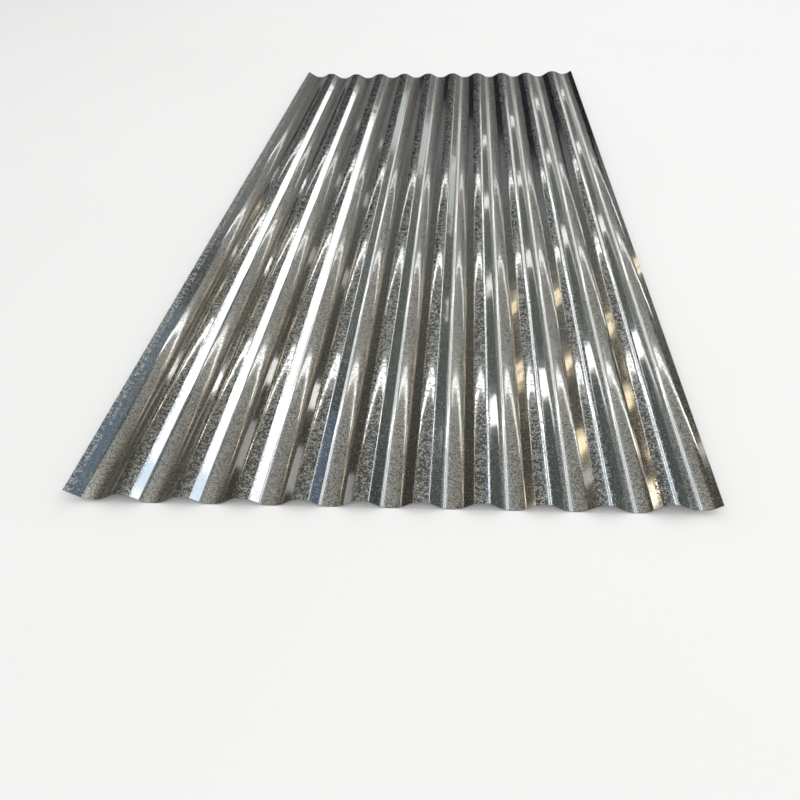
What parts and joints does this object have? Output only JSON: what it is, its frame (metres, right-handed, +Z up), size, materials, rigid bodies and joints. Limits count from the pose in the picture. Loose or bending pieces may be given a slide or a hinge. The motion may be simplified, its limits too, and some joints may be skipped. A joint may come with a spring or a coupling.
{
  "type": "corrugated metal sheet",
  "caption": "Flat-lying corrugated roofing sheet of bright zinc-coated steel with round waves along its length, square-cut ends and side margins that spring up.",
  "frame": {"origin": "on the floor, under the centre of the sheet's bounding box", "axes": "+X across the waves, +Y along the waves from the front cut end to the back one, +Z up, away from the floor"},
  "size_m": [0.8222, 1.829, 0.021],
  "materials": {
    "galvanised_steel": "bright hot-dip zinc coating, mirror-like with a fine mottled spangle"
  },
  "bodies": {
    "root": {"corrugated_sheet": "galvanised_steel"}
  },
  "joints": []
}
